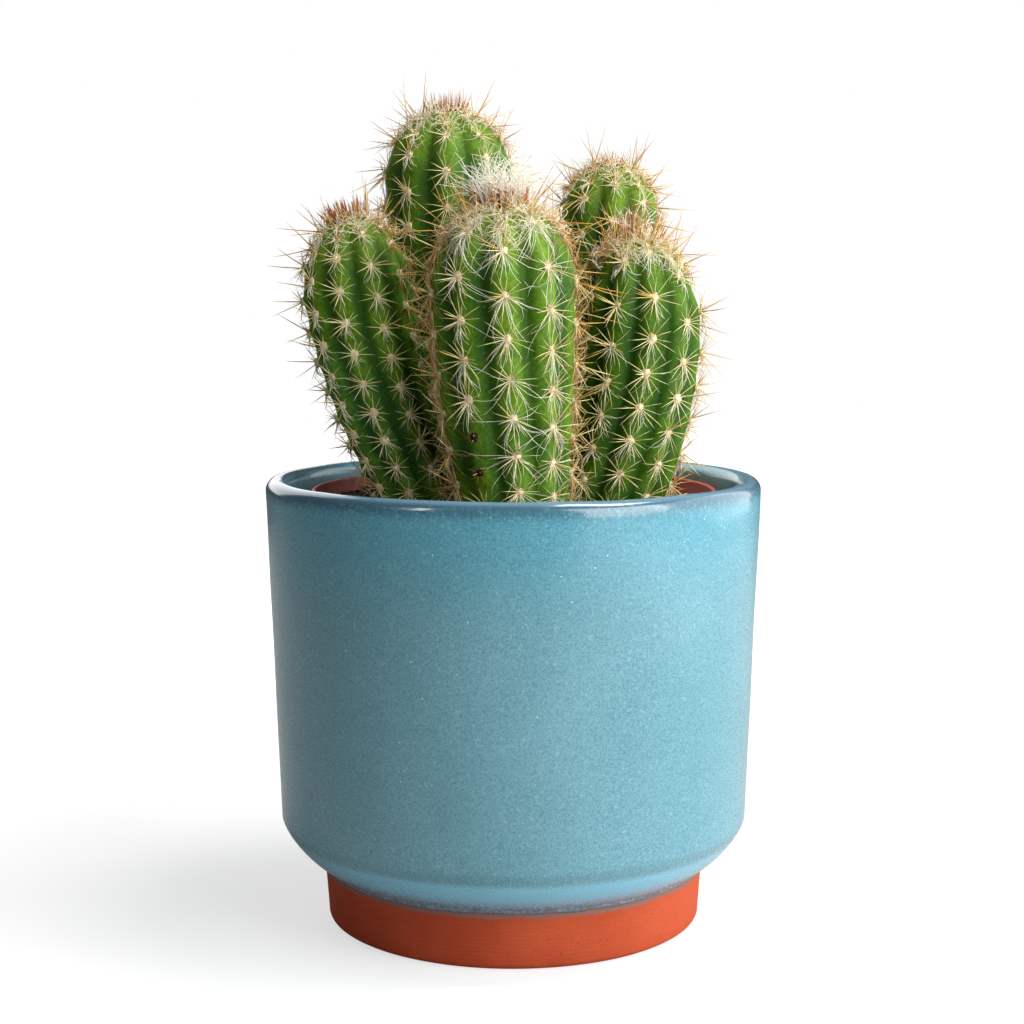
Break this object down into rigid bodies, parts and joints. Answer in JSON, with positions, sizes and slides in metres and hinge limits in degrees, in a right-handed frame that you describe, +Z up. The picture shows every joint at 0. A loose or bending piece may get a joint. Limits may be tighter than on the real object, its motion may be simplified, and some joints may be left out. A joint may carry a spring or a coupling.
{
  "type": "potted cactus",
  "caption": "Clump of ribbed, spiny columnar cactus stems in a plastic nursery pot, standing inside a glazed round clay planter with a bare foot.",
  "frame": {"origin": "on the table under the middle of the planter's foot ring", "axes": "+Z up; -Y is the front, the side of the widest stem; +X is to the right seen from the front"},
  "size_m": [0.145, 0.145, 0.2465],
  "materials": {
    "glaze": "satin",
    "bare_clay": "matte",
    "nursery_plastic": "satin",
    "potting_soil": "matte",
    "dry_fibre": "matte",
    "stem_skin": "satin",
    "areole_felt": "matte",
    "spine": "satin",
    "hair": "satin"
  },
  "bodies": {
    "root": {"planter": "glaze", "nursery_pot": "nursery_plastic", "soil": "potting_soil", "stem_front_centre": "stem_skin", "stem_front_left": "stem_skin", "stem_front_right": "stem_skin", "stem_back_left": "stem_skin", "stem_back_right": "stem_skin"}
  },
  "joints": []
}
